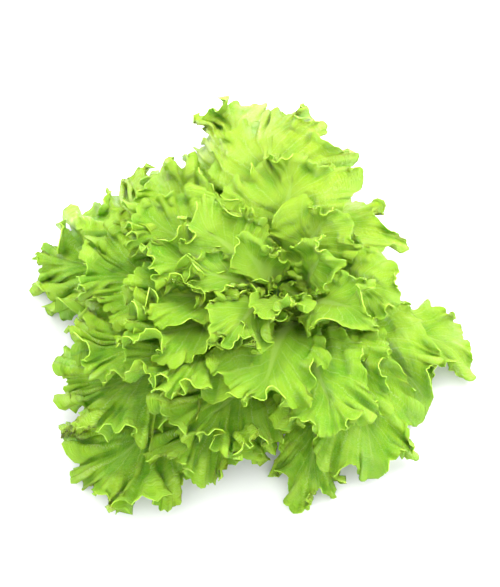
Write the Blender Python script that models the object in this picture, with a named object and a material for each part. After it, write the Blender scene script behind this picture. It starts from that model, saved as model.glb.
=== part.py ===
# A cut head of curly green salad leaves, resting on the cut face of its stem.
# Units are metres, with angles in degrees in the tables and radians in the functions. +Z is up, and
# the origin is the centre of the cut face.
#
# Each leaf is worked out in head coordinates: the distance from the origin, the bearing round the
# stem, and the rise above the horizontal. Leaves are laid from the outermost, which is lowest, to the
# innermost, and each is kept above the ones laid before it, so that no leaf passes through another.
import math
from collections import namedtuple

import bpy
import numpy as np

# The stem: half an ellipsoid that stands on its cut face
STEM_RADIUS = 0.019
STEM_HEIGHT = 0.054
STEM_SIDES = 24
STEM_RINGS = 6
STEM_CLEARANCE = 0.0016
STEM_MARGIN = 0.04  # a leaf's foot keeps clear of the stem this much further up, in radians

# The blade, and the rib that runs up its middle
BLADE_THICKNESS = 0.0009
RIB_HALF_WIDTH = 0.007
RIB_TIP = 0.05  # share of its width that the rib keeps at the leaf's tip
RIB_ALONG = (0.1, 0.9)  # where along the leaf it starts and stops to thin out
LEAF_GAP = 0.0006
RIB_SHARE = 0.80  # how far up the leaf the rib reaches
WIDEST_AT = 0.68  # where along the leaf the blade is widest
PETIOLE_SHARE = 0.02
WIDENING_POWER = 0.9
TIP_POWER = 2.4  # 2 is an elliptical tip, and more is a broader one
ROW_PLACES = (0.0, 0.20, 0.62, 1.0)  # from the rib to the margin
OUTLINE_STEPS = 120
WRAP_LIMIT = 1.2  # how far round the stem a half leaf can reach, in radians

# The margin's waves: broad bends, and the frill that rides on them. A frill wave has four columns of
# the sheet, and its crests and troughs swell sideways. Nearer the stem than FULL_WAVE_AT they are lower.
# Each power says how closely a wave keeps to the margin: the higher, the closer.
BROAD_WAVES = 4.5
BROAD_HEIGHT = 0.10  # share of the leaf's width
BROAD_POWER = 2
FRILL_WAVE = 0.030
FRILL_HEIGHT = 0.0088
FRILL_POWER = 4.0
FULL_WAVE_AT = 0.150
CALM_BASE = 0.30  # share of the half leaf, from its base, over which the waves grow
COLUMNS_PER_FRILL = 4
FRILL_SWELL = 0.55
SWELL_POWER = 3

# The margin is cut into lobes, as a share of the half width, from LOBED_FROM outwards: one to each frill
# wave, and broader ones
LOBE_DEPTH = 0.07
LOBED_FROM = 0.5
LOBE_TURN = 1.0  # how far the lobes stand off from the crests, in radians
BROAD_LOBE = 0.8
BROAD_LOBE_WAVES = 1.3 * BROAD_WAVES
FAN_POWER = 1.08

# Unevenness, as shares and waves round the margin: where a frill starts, and how strong it is
WANDERS = ((0.012, 2), (0.008, 5))
PLAIN_STRENGTH = 0.85
STRENGTH_WAVES = ((0.35, 3), (0.25, 7))

# The margin droops under its weight, from a quarter of the way up the leaf
DROOP_POWER = 2.5
DROOP_ALONG = (0.25, 0.7)
ROLL_ALONG = (0.1, 0.6)
ARCH_POWER = 1.2

# How the whole head stands: a slow turn from the outer leaves to the heart, and a lean
TWIST = 0.30
LEAN_X = -0.062
LEAN_Y = -0.042
LEAN_HEIGHT = 0.130
LEAN_POWER = 1.5

# The bins in which the leaves already laid are remembered
DISTANCE_BIN = 0.002
BEARING_BIN = math.radians(1.5)
FURTHEST = 0.260
SAMPLES_PER_SIDE = 12
EASING_ROUNDS = 6
LAYING_ROUNDS = 4
FITTING_ROUNDS = 2

SEED = 7
FULL_TURN = 2 * math.pi

Leaf = namedtuple(
    "Leaf", "name seed bearing length width petiole rib base_rise arch tip_rise droop bend roll"
)

# The outer leaves, from the lowest up: bearing from +X, length, width, arch and rise of the tip
OUTER_LEAVES = (
    (220, 0.174, 0.094, 8, 3.0),
    (333, 0.102, 0.056, 10, 3.0),
    (106, 0.154, 0.092, 10, 7.0),
    (284, 0.124, 0.044, 10, 3.0),
    (158, 0.162, 0.100, 8, 4.0),
    (61, 0.078, 0.088, 12, 12.0),
    (241, 0.130, 0.082, 6, 5.0),
    (319, 0.091, 0.078, 8, 5.0),
    (131, 0.136, 0.094, 6, 10.0),
    (203, 0.146, 0.098, 5, 8.0),
    (299, 0.114, 0.080, 6, 9.0),
    (84, 0.134, 0.086, 6, 14.0),
)
OUTER_BASE_RISE = (10, 36)
OUTER_PETIOLE = (0.013, 0.010)
OUTER_RIB = (0.0032, 0.0026)
OUTER_DROOP = (0.010, 0.012)

# The leaves inside them, from the lowest up: bearing, length, width and rise of the tip
INNER_LEAVES = (
    (250, 0.112, 0.090, 20),
    (195, 0.124, 0.078, 18),
    (20, 0.055, 0.074, 26),
    (165, 0.116, 0.088, 24),
    (302, 0.092, 0.082, 27),
    (278, 0.104, 0.070, 24),
    (74, 0.098, 0.088, 32),
    (115, 0.108, 0.074, 28),
    (220, 0.106, 0.084, 32),
    (350, 0.069, 0.072, 36),
    (130, 0.096, 0.078, 38),
    (268, 0.090, 0.074, 40),
    (42, 0.068, 0.066, 43),
    (203, 0.096, 0.062, 42),
    (185, 0.086, 0.068, 44),
    (150, 0.084, 0.056, 46),
    (320, 0.068, 0.058, 48),
    (95, 0.076, 0.056, 52),
    (235, 0.072, 0.052, 55),
    (0, 0.066, 0.044, 60),
    (150, 0.066, 0.042, 63),
    (290, 0.060, 0.038, 67),
    (60, 0.056, 0.032, 71),
)
MIDDLE_COUNT = 17
INNER_PETIOLE = (0.009, 0.0035)
INNER_RIB = (0.0024, 0.0010)
INNER_BASE_RISE = (36, 74)
INNER_DROOP = (0.012, 0.004)
MOST_BEND = math.radians(14)
OUTER_ROLL = 0.12
INNER_ROLL = 0.05


def between(pair, share):
    return pair[0] + (pair[1] - pair[0]) * share


def leaf_list():
    """Every leaf, from the outermost to the innermost."""
    random = np.random.default_rng(SEED)
    leaves = []
    for number, (bearing, length, width, arch, tip_rise) in enumerate(OUTER_LEAVES):
        share = number / (len(OUTER_LEAVES) - 1)
        name = f"outer_leaf_{number + 1:02d}"
        size = (length, width, between(OUTER_PETIOLE, share), between(OUTER_RIB, share))
        rises = (between(OUTER_BASE_RISE, share), arch, tip_rise)
        bend, roll = random.uniform(-1, 1, 2) * (MOST_BEND, OUTER_ROLL)
        droop = between(OUTER_DROOP, share)
        leaves.append(Leaf(name, number, bearing, *size, *rises, droop, bend, roll))
    for number, (bearing, length, width, tip_rise) in enumerate(INNER_LEAVES):
        share = number / (len(INNER_LEAVES) - 1)
        if number < MIDDLE_COUNT:
            name = f"middle_leaf_{number + 1:02d}"
        else:
            name = f"heart_leaf_{number - MIDDLE_COUNT + 1:02d}"
        size = (length, width, between(INNER_PETIOLE, share), between(INNER_RIB, share))
        rises = (between(INNER_BASE_RISE, share), 0, tip_rise)
        bend, roll = random.uniform(-1, 1, 2) * (MOST_BEND, INNER_ROLL)
        droop = between(INNER_DROOP, share)
        leaves.append(Leaf(name, 100 + number, bearing, *size, *rises, droop, bend, roll))
    return leaves


def smoothstep(low, high, value):
    t = np.clip((value - low) / (high - low), 0, 1)
    return t * t * (3 - 2 * t)


def stem_reach(rise):
    """Distance from the origin to the stem's surface in the direction of a rise."""
    return 1 / np.sqrt((np.cos(rise) / STEM_RADIUS) ** 2 + (np.sin(rise) / STEM_HEIGHT) ** 2)


def outline(leaf):
    """The margin, from one side of the base round the tip to the other: its length so far, the place
    along the leaf from 0 to 1, and the distance across from the rib."""
    rising = np.linspace(0, WIDEST_AT, OUTLINE_STEPS)
    rounding = WIDEST_AT + (1 - WIDEST_AT) * np.sin(np.linspace(0, math.pi / 2, OUTLINE_STEPS))[1:]
    along = np.concatenate([rising, rounding])
    wide = leaf.width / 2
    growing = smoothstep(PETIOLE_SHARE, WIDEST_AT, along) ** WIDENING_POWER
    growing = leaf.petiole + (wide - leaf.petiole) * growing
    past = np.clip((along - WIDEST_AT) / (1 - WIDEST_AT), 0, 1)
    across = growing * np.sqrt(np.clip(1 - past**TIP_POWER, 0, 1))
    along = np.concatenate([along, along[-2::-1]])
    across = np.concatenate([-across, across[-2::-1]])
    steps = np.hypot(np.diff(along) * leaf.length, np.diff(across))
    return np.concatenate([[0], np.cumsum(steps)]), along, across


def frill_waves(leaf):
    """How many frill waves fit along the margin, as an even number."""
    return 2 * round(outline(leaf)[0][-1] / FRILL_WAVE / 2)


def uneven(waves, u, turn):
    """The sum of slow waves along the margin, each a share and how many of them go round it."""
    return sum(share * np.sin(FULL_TURN * count * u + start) for (share, count), start in zip(waves, turn))


def leaf_sheet(leaf, columns, rows):
    """The leaf as it would lie alone, as arrays with a column for each step along the margin and a row
    for each place from the rib to the margin: distance from the origin, distance across from the rib,
    sideways bend, rise, and thickness."""
    random = np.random.default_rng(SEED + leaf.seed)
    turn = random.uniform(0, FULL_TURN, 6)
    run, margin_along, margin_across = outline(leaf)
    waves = frill_waves(leaf)
    u = np.linspace(0, 1, columns + 1)[:, None]
    r = np.array(rows)[None, :]
    ends = np.sin(math.pi * u)
    waved = smoothstep(0, CALM_BASE, 1 - np.abs(2 * u - 1))
    frill_turn = FULL_TURN * waves * u
    broad_turn = FULL_TURN * BROAD_WAVES * u + turn[0]
    lobe_turn = BROAD_LOBE_WAVES / BROAD_WAVES * broad_turn
    wander = uneven(WANDERS, u, turn[1:3])
    swell = FRILL_SWELL * waved * r**SWELL_POWER * np.sin(2 * frill_turn) / (2 * FULL_TURN * waves)
    place = np.clip(u + ends * wander * r - swell, 0, 1) * run[-1]
    edge_along = np.interp(place, run, margin_along)
    edge_across = np.interp(place, run, margin_across)
    rib_along = RIB_SHARE * (1 - np.abs(2 * u - 1))
    lobed = np.cos(frill_turn + LOBE_TURN) + BROAD_LOBE * np.sin(lobe_turn)
    out = r**FAN_POWER * (1 + LOBE_DEPTH * waved * lobed * smoothstep(LOBED_FROM, 1, r))
    along = rib_along + (edge_along - rib_along) * out
    across = edge_across * out
    base = math.radians(leaf.base_rise)
    tip = math.radians(leaf.tip_rise)
    distance = stem_reach(base) + STEM_CLEARANCE + along * leaf.length
    rise = base + (tip - base) * smoothstep(0, 1, along)
    rise = rise + math.radians(leaf.arch) * np.sin(math.pi * np.clip(along, 0, 1)) ** ARCH_POWER
    strength = PLAIN_STRENGTH + ends * uneven(STRENGTH_WAVES[:1], u, turn[3:4])
    strength = strength + uneven(STRENGTH_WAVES[1:], u, turn[4:5])
    broad = BROAD_HEIGHT * leaf.width * r**BROAD_POWER * np.sin(broad_turn)
    frill = FRILL_HEIGHT * strength * r**FRILL_POWER * np.sin(frill_turn)
    droop = leaf.droop * r**DROOP_POWER * smoothstep(*DROOP_ALONG, along)
    rolled = leaf.roll * across * smoothstep(*ROLL_ALONG, along)
    rise = rise + (waved * (broad + frill) + rolled - droop) / np.maximum(distance, FULL_WAVE_AT)
    rib_width = RIB_HALF_WIDTH * (RIB_TIP + 1 - np.clip(along, 0, 1))
    rib = np.exp(-((across / rib_width) ** 2)) * (1 - smoothstep(*RIB_ALONG, along))
    thickness = BLADE_THICKNESS + (leaf.rib - BLADE_THICKNESS) * rib
    bend = leaf.bend * smoothstep(0.0, 1.0, along)
    return distance, across, bend, rise, thickness


def wrapped(leaf, distance, across, bend, rise):
    """The bearing of each place on the leaf: its distance across, taken round the head at its rise."""
    reach = np.maximum(distance * np.cos(np.clip(rise, 0, 1.5)), 0.001)
    return math.radians(leaf.bearing) + bend + WRAP_LIMIT * np.tanh(across / reach / WRAP_LIMIT)


def grid_faces(columns, rows):
    """Triangles of the sheet. The two halves share the rib, so a column's first point is the same as its
    mirror image's."""
    index = np.arange((columns + 1) * rows).reshape(columns + 1, rows)
    for column in range(columns // 2 + 1, columns + 1):
        index[column, 0] = index[columns - column, 0]
    a, b = index[:-1, :-1], index[1:, :-1]
    c, d = index[1:, 1:], index[:-1, 1:]
    first = (np.arange(columns) < columns // 2)[:, None]
    one = np.where(first[..., None], np.stack([a, b, d], -1), np.stack([a, b, c], -1))
    two = np.where(first[..., None], np.stack([b, c, d], -1), np.stack([a, c, d], -1))
    return index, np.concatenate([one.reshape(-1, 3), two.reshape(-1, 3)])


def barycentric(per_side):
    """Even places over a triangle, as weights of its corners."""
    places = [(i, j, per_side - i - j) for i in range(per_side + 1) for j in range(per_side + 1 - i)]
    return np.array(places, float) / per_side


def widened(bins):
    """Each bin raised to the highest of itself and its neighbours. Bearings run round."""
    tallest = bins.copy()
    tallest[1:] = np.maximum(tallest[1:], bins[:-1])
    tallest[:-1] = np.maximum(tallest[:-1], bins[1:])
    return np.maximum(tallest, np.maximum(np.roll(tallest, 1, 1), np.roll(tallest, -1, 1)))


class Pile:
    """The leaves already laid, as the highest rise in each bin of distance and bearing."""

    def __init__(self):
        self.bearings = round(FULL_TURN / BEARING_BIN)
        self.top = np.zeros((round(FURTHEST / DISTANCE_BIN), self.bearings))
        self.weights = barycentric(SAMPLES_PER_SIDE)

    def samples(self, solid_points, solid_faces):
        """Rise and distance of points all over the solid's faces, and their bins."""
        spread = np.einsum("sk,fkc->fsc", self.weights, solid_points[solid_faces])
        distance, bearing, rise = unplaced(spread)
        row = np.clip((distance / DISTANCE_BIN).astype(int), 0, len(self.top) - 1)
        column = np.floor(bearing / BEARING_BIN).astype(int) % self.bearings
        return distance, rise, row, column

    def lack(self, solid_points, solid_faces):
        """How far each point of the solid has to rise to clear the leaves below."""
        distance, rise, row, column = self.samples(solid_points, solid_faces)
        needed = widened(self.top)[row, column] + LEAF_GAP / distance
        short = np.maximum(needed - rise, 0).max(1)
        raise_by = np.zeros(len(solid_points))
        np.maximum.at(raise_by, solid_faces.ravel(), np.repeat(short, 3))
        return raise_by

    def add(self, solid_points, solid_faces):
        _, rise, row, column = self.samples(solid_points, solid_faces)
        np.maximum.at(self.top, (row.ravel(), column.ravel()), rise.ravel())


def eased(raise_by, reach):
    """The raise spread over the sheet as far as reach columns, so that the waves of a raised margin are
    carried up whole. It is nowhere lower than it was."""
    least = raise_by
    for _ in range(reach):
        padded = np.pad(raise_by, ((1, 1), (0, 0)), mode="edge")
        raise_by = np.maximum(raise_by, 0.9 * np.maximum(padded[:-2], padded[2:]))
    for _ in range(EASING_ROUNDS):
        padded = np.pad(raise_by, 1, mode="edge")
        around = (padded[:-2, 1:-1] + padded[2:, 1:-1] + padded[1:-1, :-2] + padded[1:-1, 2:]) / 4
        raise_by = np.maximum(least, around)
        raise_by[:, 0] = np.maximum(raise_by[:, 0], raise_by[::-1, 0])
    return raise_by


def placed(distance, bearing, rise):
    """Head coordinates as x, y and z, with the head's twist and lean."""
    turned = bearing + TWIST * rise
    height = distance * np.sin(rise)
    out = distance * np.cos(rise)
    lean = (np.maximum(height, 0) / LEAN_HEIGHT) ** LEAN_POWER
    x = out * np.cos(turned) + LEAN_X * lean
    y = out * np.sin(turned) + LEAN_Y * lean
    return np.stack([x, y, height], -1)


def unplaced(points):
    """The head coordinates of points in x, y and z."""
    height = points[..., 2]
    lean = (np.maximum(height, 0) / LEAN_HEIGHT) ** LEAN_POWER
    x = points[..., 0] - LEAN_X * lean
    y = points[..., 1] - LEAN_Y * lean
    out = np.hypot(x, y)
    rise = np.arctan2(height, out)
    return np.hypot(out, height), np.arctan2(y, x) - TWIST * rise, rise


def new_object(name, points, faces, material):
    mesh = bpy.data.meshes.new(name)
    mesh.from_pydata(points.tolist(), [], np.asarray(faces).tolist())
    mesh.shade_smooth()
    mesh.materials.append(material)
    made = bpy.data.objects.new(name, mesh)
    bpy.context.scene.collection.objects.link(made)


def thickened(index, points, faces, thickness):
    """A closed solid about the middle surface: the same triangles on both faces, and a strip between
    them round the margin and the base."""
    edges = points[faces]
    facing = np.cross(edges[:, 1] - edges[:, 0], edges[:, 2] - edges[:, 0])
    normals = np.zeros_like(points)
    for corner in range(3):
        np.add.at(normals, faces[:, corner], facing)
    normals /= np.maximum(np.linalg.norm(normals, axis=1), 1e-12)[:, None]
    half = normals * thickness[:, None] / 2
    upper, lower = points + half, points - half
    rim = np.concatenate([index[0], index[1:, -1], index[-1, -2:0:-1]])
    following = np.roll(rim, -1)
    count = len(points)
    sides = np.concatenate(
        [
            np.stack([rim, following, following + count], 1),
            np.stack([rim, following + count, rim + count], 1),
        ]
    )
    solid_faces = np.concatenate([faces, faces[:, ::-1] + count, sides])
    solid_points = np.concatenate([upper, lower])
    return solid_points, solid_faces


def used_only(points, faces):
    """The solid without the spare points of the mirrored half's rib."""
    used, renumbered = np.unique(faces, return_inverse=True)
    return points[used], renumbered.reshape(-1, 3)


def laid(leaf, pile, columns, rows):
    """The leaf as a closed solid that rests on the leaves below it. Its width is fitted round the head
    twice, as it is first laid, and then it is only lifted."""
    distance, across, bend, rise, thickness = leaf_sheet(leaf, columns, rows)
    index, faces = grid_faces(columns, len(rows))
    raise_by = np.zeros_like(rise)
    count = rise.size
    for turn in range(LAYING_ROUNDS):
        if turn < FITTING_ROUNDS:
            bearing = wrapped(leaf, distance, across, bend, rise + raise_by)
        from_stem = stem_reach(rise + raise_by + STEM_MARGIN) + STEM_CLEARANCE + thickness / 2
        middle = placed(np.maximum(distance, from_stem), bearing, rise + raise_by)
        solid = thickened(index, middle.reshape(-1, 3), faces, thickness.reshape(-1))
        if turn == LAYING_ROUNDS - 1:
            break
        lack = pile.lack(*solid)
        lack = np.maximum(lack[:count], lack[count:]).reshape(rise.shape)
        raise_by = raise_by + eased(lack, COLUMNS_PER_FRILL // 2)
    pile.add(*solid)
    return solid


def build_leaf(leaf, pile, material):
    solid = laid(leaf, pile, COLUMNS_PER_FRILL * frill_waves(leaf), ROW_PLACES)
    new_object(leaf.name, *used_only(*solid), material)


def build_stem(material):
    """The stem, ring by ring from the cut face to its top."""
    rises = np.linspace(0, math.pi / 2, STEM_RINGS + 1)[:-1]
    bearings = np.linspace(0, FULL_TURN, STEM_SIDES, endpoint=False)
    rise, bearing = np.meshgrid(rises, bearings, indexing="ij")
    rings = placed(stem_reach(rise), bearing, rise).reshape(-1, 3)
    top_point = placed(STEM_HEIGHT, 0, math.pi / 2)
    points = np.concatenate([rings, [[0, 0, 0], top_point]])
    count = STEM_SIDES * STEM_RINGS
    faces = []
    for side in range(STEM_SIDES):
        after = (side + 1) % STEM_SIDES
        faces.append((count, after, side))
        top = count - STEM_SIDES
        faces.append((top + side, top + after, count + 1))
        for ring in range(STEM_RINGS - 1):
            low = ring * STEM_SIDES
            high = low + STEM_SIDES
            faces.append((low + side, low + after, high + after))
            faces.append((low + side, high + after, high + side))
    new_object("stem", points, faces, material)


def finish(name, colour, roughness):
    material = bpy.data.materials.new(name)
    material.use_nodes = True
    shader = material.node_tree.nodes["Principled BSDF"]
    shader.inputs["Base Color"].default_value = (*colour, 1)
    shader.inputs["Roughness"].default_value = roughness
    shader.inputs["Metallic"].default_value = 0
    return material


def clear_scene():
    for old in list(bpy.data.objects):
        bpy.data.objects.remove(old)


def main():
    clear_scene()
    leaf_finish = finish("leaf", (0.33, 0.60, 0.05), 0.45)
    heart_finish = finish("heart", (0.50, 0.75, 0.12), 0.45)
    stem_finish = finish("stem", (0.80, 0.82, 0.60), 0.55)
    pile = Pile()
    build_stem(stem_finish)
    for leaf in leaf_list():
        heart = leaf.name.startswith("heart")
        build_leaf(leaf, pile, heart_finish if heart else leaf_finish)


main()
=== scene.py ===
import math

import bpy
import numpy as np
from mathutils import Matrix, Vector


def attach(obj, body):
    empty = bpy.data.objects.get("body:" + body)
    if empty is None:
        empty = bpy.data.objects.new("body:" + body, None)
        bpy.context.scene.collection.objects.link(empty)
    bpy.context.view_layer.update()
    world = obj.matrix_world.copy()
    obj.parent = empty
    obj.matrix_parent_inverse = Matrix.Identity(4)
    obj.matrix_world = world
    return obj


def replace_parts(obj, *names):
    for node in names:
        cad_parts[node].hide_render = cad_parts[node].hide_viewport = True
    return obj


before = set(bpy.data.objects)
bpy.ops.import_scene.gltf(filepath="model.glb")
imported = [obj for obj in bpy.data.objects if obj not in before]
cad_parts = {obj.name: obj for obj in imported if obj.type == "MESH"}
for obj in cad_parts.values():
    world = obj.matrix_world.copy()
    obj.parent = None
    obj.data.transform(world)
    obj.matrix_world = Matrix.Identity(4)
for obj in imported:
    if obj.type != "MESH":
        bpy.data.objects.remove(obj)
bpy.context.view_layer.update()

# A cut head of curly green leaf lettuce. Every leaf is worked out in head coordinates: distance from the
# middle of the cut face, bearing round the stem, and rise above the table. Leaves are laid from the
# outermost to the innermost, each on the ones before it, as in the solids that these pieces replace.

print("stage: head and leaf sizes")

head = {
    "twist": 0.30,  # turn round the stem for each radian of rise
    "lean": (-0.062, -0.042),  # sideways, for a point at leanHeight
    "leanHeight": 0.130,
    "leanPower": 1.5,
    "seed": 7,
}

stem = {
    "radius": 0.019,
    "height": 0.054,
    "clearance": 0.0016,
    "margin": 0.04,  # radians of rise by which a leaf's foot clears the stem
    "sides": 96,
    "rings": 40,
    "ridge": 0.02,  # depth of the low ridges, as a share of the radius
    "ridgeCount": 4,
    "ridgeTwist": 9,
}

blade = {
    "solidThickness": 0.0009,  # of the solids, which the laying is worked out with
    "thickness": 0.00055,
    "gap": 0.0006,
    "ribHalfWidth": 0.007,
    "ribTip": 0.05,  # share of its width that the rib keeps at the tip
    "ribAlong": (0.1, 0.9),  # where along the leaf it starts and stops to thin out
    "ribShare": 0.80,  # how far up the leaf the rib reaches
    "widestAt": 0.68,
    "petioleShare": 0.02,
    "wideningPower": 0.9,
    "tipPower": 2.4,
    "outlineSteps": 120,
    "wrapLimit": 1.2,  # how far round the stem a half leaf can reach, in radians
    "leastReach": 0.001,
    "steepest": 1.5,
    "solidRows": (0.0, 0.20, 0.62, 1.0),  # places from rib to margin
    "rows": 24,
    "rowPower": 0.62,  # brings the fine rows closer together towards the margin
    "innerRows": 13,  # from the rib; these have half as many columns
    "columnStep": 0.00068,  # along the margin
    "quickSteps": 3,
}

# Broad bends and wide frills, as in the solids. A power says how closely a wave keeps to the margin.
waves = {
    "broadCount": 4.5,
    "broadHeight": 0.10,  # share of the leaf's width
    "broadPower": 2,
    "frillWave": 0.030,
    "frillHeight": 0.0088,
    "frillPower": 4,
    "fullWaveAt": 0.150,  # nearer the stem than this they are lower
    "calmBase": 0.30,  # share of the half leaf, from its base, over which they grow
    "columnsPerFrill": 4,
    "frillSwell": 0.55,
    "swellPower": 3,
    "fanPower": 1.08,
    "lobeDepth": 0.07,  # share of the half width
    "lobedFrom": 0.5,
    "lobeTurn": 1.0,  # how far the lobes stand off from the crests, in radians
    "broadLobe": 0.8,
    "broadLobeCount": 1.3,  # to each broad wave
    "wander": ((0.012, 2), (0.008, 5)),  # where a frill starts: share, and waves round the margin
    "strength": 0.85,
    "strengthWaves": ((0.35, 3), (0.25, 7)),
}

# How the blade hangs, from places along the leaf
hang = {
    "droopPower": 2.5,
    "droopAlong": (0.25, 0.7),
    "rollAlong": (0.1, 0.6),
    "archPower": 1.2,
}

# The small frills along the margin, which only these pieces have, from the widest to the finest: wave
# along the margin, height, power of the place from rib to margin, lean outwards, swell, and cut of lobes
ruffle = {
    "octaves": (
        (0.0150, 0.0064, 2.4, 0.42, 1.5, 0.0020),
        (0.0078, 0.0034, 3.6, 0.40, 1.2, 0.0020),
        (0.0038, 0.0010, 8.0, 0.30, 0.5, 0.0010),
    ),
    "seed": 900,
    "endsCalm": (0.03, 0.30),  # share of the half leaf, from its base, over which they grow
    "calmBearing": math.radians(5),  # leaves on this side have plainer margins
    "calmSpread": math.radians(94),
    "calmest": 0.46,
    "calmPower": 2.0,  # added to the power there, which keeps the frills to the margin
    "busyBearing": math.radians(195),  # and on this side the most curled
    "busySpread": math.radians(70),
    "busiest": 1.38,
    "inwardCalm": 0.3,  # by how much the innermost leaves' are weaker
    "strength": 0.90,
    "strengthWaves": ((0.35, 5), (0.40, 0.23)),  # with waves round the margin, and to each frill
    "phaseWaves": ((2.2, 3), (1.7, 0.31)),  # likewise, in radians
    "most": 1.5,  # the strength that none passes
    "standing": 0.45,  # share of the height by which the margin stands up on the whole
    "inwardStanding": 0.6,  # how much less of it the innermost leaves have
    "propped": 0.25,  # and more of it where the leaf lies on the table
    "proppedBelow": 0.012,
    "lobePower": 0.8,
    "lobeMean": 0.7,
    "lobedFrom": 0.6,
    "lobeWander": (0.3, 9),
    "frameEasing": 5,
    "frameRise": 0.01,  # radians of rise that show which way is up from the blade
    "crestPower": 2.0,
}

# Swellings of the blade. The wander is a sum of products of two sines, with a share and the waves of both
# in each row, and a push is the height and waves of a sine that bends the rows of blisters.
relief = {
    "seed": 1700,
    "veinsPerHalf": 13,
    "veinLean": 1.2,  # radians by which a side vein turns on its way to the margin
    "veinPower": 0.8,
    "veinMean": 0.6,
    "pucker": 0.0004,
    "growsAt": (0.05, 0.30),  # from rib to margin
    "fadesAt": (0.80, 1.0),
    "wander": 0.0020,
    "wanderSize": 0.011,
    "wanderRows": ((1.0, (1.7, 0.6), (-0.8, 1.4)), (0.5, (3.1, -1.1), (1.7, 2.9))),
    "pushAcross": ((0.35, 0.9), (0.2, 2.1)),
    "pushAlong": ((0.35, 1.1), (0.2, 2.3)),
    "blister": 0.0009,
    "blisterSize": 0.012,
    "blisterTurn": 0.3,
    "crestLift": 0.0035,  # the swelling that counts as a full crest for the colours
}

# How the leaves are laid on one another
laying = {
    "distanceBin": 0.002,
    "bearingBin": math.radians(1.5),
    "furthest": 0.260,
    "samplesPerSide": 12,
    "easingShare": 0.9,
    "easingRounds": 6,
    "rounds": 4,
    "fittingRounds": 2,
    "softWidth": 0.8,  # of a coarse column, over which the fine lift is softened
    "softRounds": 2,
}

# From the lowest up: bearing, length, width, arch and rise of the tip
outerLeaves = {
    "rows": (
        (220, 0.174, 0.094, 8, 3.0),
        (333, 0.102, 0.056, 10, 3.0),
        (106, 0.154, 0.092, 10, 7.0),
        (284, 0.124, 0.044, 10, 3.0),
        (158, 0.162, 0.100, 8, 4.0),
        (61, 0.078, 0.088, 12, 12.0),
        (241, 0.130, 0.082, 6, 5.0),
        (319, 0.091, 0.078, 8, 5.0),
        (131, 0.136, 0.094, 6, 10.0),
        (203, 0.146, 0.098, 5, 8.0),
        (299, 0.114, 0.080, 6, 9.0),
        (84, 0.134, 0.086, 6, 14.0),
    ),
    "baseRise": (10, 36),
    "petiole": (0.013, 0.010),
    "rib": (0.0032, 0.0026),
    "droop": (0.010, 0.012),
    "roll": 0.12,
    "bend": 14,
    "seed": 0,
}

# From the lowest up: bearing, length, width and rise of the tip
innerLeaves = {
    "rows": (
        (250, 0.112, 0.090, 20),
        (195, 0.124, 0.078, 18),
        (20, 0.055, 0.074, 26),
        (165, 0.116, 0.088, 24),
        (302, 0.092, 0.082, 27),
        (278, 0.104, 0.070, 24),
        (74, 0.098, 0.088, 32),
        (115, 0.108, 0.074, 28),
        (220, 0.106, 0.084, 32),
        (350, 0.069, 0.072, 36),
        (130, 0.096, 0.078, 38),
        (268, 0.090, 0.074, 40),
        (42, 0.068, 0.066, 43),
        (203, 0.096, 0.062, 42),
        (185, 0.086, 0.068, 44),
        (150, 0.084, 0.056, 46),
        (320, 0.068, 0.058, 48),
        (95, 0.076, 0.056, 52),
        (235, 0.072, 0.052, 55),
        (0, 0.066, 0.044, 60),
        (150, 0.066, 0.042, 63),
        (290, 0.060, 0.038, 67),
        (60, 0.056, 0.032, 71),
    ),
    "middleCount": 17,
    "baseRise": (36, 74),
    "petiole": (0.009, 0.0035),
    "rib": (0.0024, 0.0010),
    "droop": (0.012, 0.004),
    "roll": 0.05,
    "bend": 14,
    "seed": 100,
}

# The tiny leaves round the growing tip, which only these pieces show: bearing, length, width, rise of foot
# and of tip
budLeaves = {
    "rows": (
        (300, 0.030, 0.028, 44, 74),
        (345, 0.030, 0.026, 48, 72),
        (30, 0.028, 0.026, 50, 76),
        (255, 0.028, 0.026, 52, 80),
        (325, 0.024, 0.022, 62, 84),
        (100, 0.026, 0.022, 62, 86),
    ),
    "petiole": 0.0035,
    "rib": 0.0008,
    "seed": 300,
}

tiny = 1e-12


# A share of the way from one value to the other
def between(pair, share):
    return pair[0] + (pair[1] - pair[0]) * share


# 3t^2 - 2t^3, with t from 0 at low to 1 at high
def smoothStep(low, high, value):
    t = np.clip((value - low) / (high - low), 0, 1)
    return t * t * (3 - 2 * t)


# The leaves as dictionaries, with the same seeded draws as the solids
def listLeaves():
    draw = np.random.default_rng(head["seed"])
    leaves = []
    for kind, rows in (("outer", outerLeaves["rows"]), ("inner", innerLeaves["rows"])):
        sizes = outerLeaves if kind == "outer" else innerLeaves
        for number, row in enumerate(rows):
            share = number / (len(rows) - 1)
            bend, roll = draw.uniform(-1, 1, 2) * (math.radians(sizes["bend"]), sizes["roll"])
            if kind == "outer":
                name = f"outer_leaf_{number + 1:02d}"
            elif number < sizes["middleCount"]:
                name = f"middle_leaf_{number + 1:02d}"
            else:
                name = f"heart_leaf_{number - sizes['middleCount'] + 1:02d}"
            leaves.append({
                "name": name,
                "seed": number + sizes["seed"],
                "bearing": math.radians(row[0]),
                "length": row[1],
                "width": row[2],
                "arch": math.radians(row[3]) if kind == "outer" else 0.0,
                "tipRise": math.radians(row[-1]),
                "baseRise": math.radians(between(sizes["baseRise"], share)),
                "petiole": between(sizes["petiole"], share),
                "rib": between(sizes["rib"], share),
                "droop": between(sizes["droop"], share),
                "bend": bend,
                "roll": roll,
                "inward": share if kind == "inner" else 0.0,
            })
    return leaves


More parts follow.
